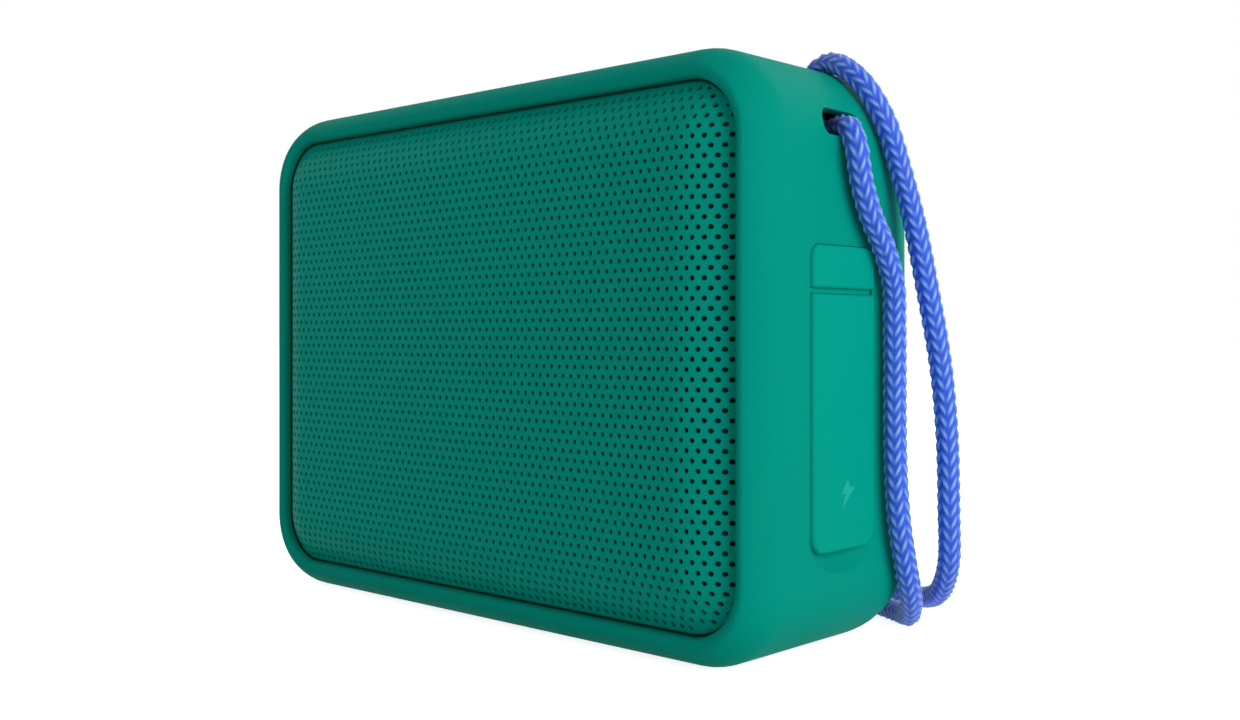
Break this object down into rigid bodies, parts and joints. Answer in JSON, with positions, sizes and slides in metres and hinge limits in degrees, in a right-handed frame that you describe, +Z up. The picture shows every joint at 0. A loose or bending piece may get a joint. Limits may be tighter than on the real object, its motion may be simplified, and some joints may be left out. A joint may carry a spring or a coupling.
{
  "type": "portable bluetooth speaker",
  "caption": "Palm-size speaker in a rubber jacket with a crowned perforated grille, top buttons, a side port flap and a knitted wrist cord looped through its corner.",
  "frame": {"origin": "on the flat underside, midway along the width, 23.15 mm behind the crown of the grille", "axes": "+X to the right seen from the front, -Y to the front, towards the grille, +Z up"},
  "size_m": [0.1176, 0.0666, 0.0847],
  "materials": {
    "jacket_rubber": "matte",
    "flap_rubber": "matte",
    "grille_paint": "satin",
    "grille_cloth": "matte",
    "dark_plastic": "matte",
    "gasket_foam": "matte",
    "zinc_steel": "satin",
    "ferrite": "satin",
    "cone_paper": "matte",
    "surround_rubber": "satin",
    "coil_copper": "satin",
    "spider_cloth": "matte",
    "circuit_board": "satin",
    "switch_plastic": "matte",
    "cell_wrap": "gloss",
    "clear_plastic": "gloss",
    "lead_insulation": "satin",
    "cord_knit": "matte"
  },
  "bodies": {
    "enclosure": {"rubber_jacket": "jacket_rubber", "rear_housing": "dark_plastic", "front_baffle": "dark_plastic", "baffle_gasket": "gasket_foam", "grille": "grille_paint", "grille_cloth": "grille_cloth", "flap_tab": "flap_rubber", "driver_frame": "zinc_steel", "driver_magnet": "ferrite", "driver_surround": "surround_rubber", "driver_spider": "spider_cloth", "radiator_frame": "dark_plastic", "radiator_surround": "surround_rubber", "main_board": "circuit_board", "charging_socket": "zinc_steel", "audio_socket": "switch_plastic", "radio_module": "zinc_steel", "battery_cell": "cell_wrap", "button_board": "circuit_board", "light_pipe": "clear_plastic", "microphone": "surround_rubber", "speaker_lead": "lead_insulation", "battery_lead": "lead_insulation", "cord_clamp": "dark_plastic", "wrist_cord": "cord_knit", "baffle_screw_1": "zinc_steel", "baffle_screw_2": "zinc_steel", "baffle_screw_3": "zinc_steel", "baffle_screw_4": "zinc_steel", "button_switch_1": "switch_plastic", "button_switch_2": "switch_plastic", "button_switch_3": "switch_plastic", "button_switch_4": "switch_plastic", "button_switch_5": "switch_plastic"},
    "flap": {"port_flap": "flap_rubber"},
    "cone_assembly": {"driver_cone": "cone_paper", "voice_coil": "coil_copper"},
    "radiator_plate": {"radiator_mass": "zinc_steel"},
    "power_button": {"power_button": "flap_rubber"},
    "volume_down_button": {"volume_down_button": "flap_rubber"},
    "play_button": {"play_button": "flap_rubber"},
    "volume_up_button": {"volume_up_button": "flap_rubber"},
    "pairing_button": {"pairing_button": "flap_rubber"}
  },
  "joints": [
    {"name": "flap_hinge", "type": "hinge", "parent": "enclosure", "child": "flap", "pos_m": [0.0552, -0.0029, 0.0498], "axis": [0, -1, 0], "range_deg": [0, 95], "stiffness_Nm_per_rad": 0.002},
    {"name": "cone_travel", "type": "slide", "parent": "enclosure", "child": "cone_assembly", "axis": [0, -1, 0], "range_m": [-0.0015, 0.0015], "stiffness_N_per_m": 1200, "deforming": ["driver_surround", "driver_spider"]},
    {"name": "radiator_travel", "type": "slide", "parent": "enclosure", "child": "radiator_plate", "axis": [0, -1, 0], "range_m": [-0.002, 0.002], "stiffness_N_per_m": 900, "deforming": ["radiator_surround"]},
    {"name": "power_press", "type": "slide", "parent": "enclosure", "child": "power_button", "axis": [0, 0, -1], "range_m": [0, 0.0005], "stiffness_N_per_m": 1500},
    {"name": "volume_down_press", "type": "slide", "parent": "enclosure", "child": "volume_down_button", "axis": [0, 0, -1], "range_m": [0, 0.0005], "stiffness_N_per_m": 1500},
    {"name": "play_press", "type": "slide", "parent": "enclosure", "child": "play_button", "axis": [0, 0, -1], "range_m": [0, 0.0005], "stiffness_N_per_m": 1500},
    {"name": "volume_up_press", "type": "slide", "parent": "enclosure", "child": "volume_up_button", "axis": [0, 0, -1], "range_m": [0, 0.0005], "stiffness_N_per_m": 1500},
    {"name": "pairing_press", "type": "slide", "parent": "enclosure", "child": "pairing_button", "axis": [0, 0, -1], "range_m": [0, 0.0005], "stiffness_N_per_m": 1500}
  ]
}
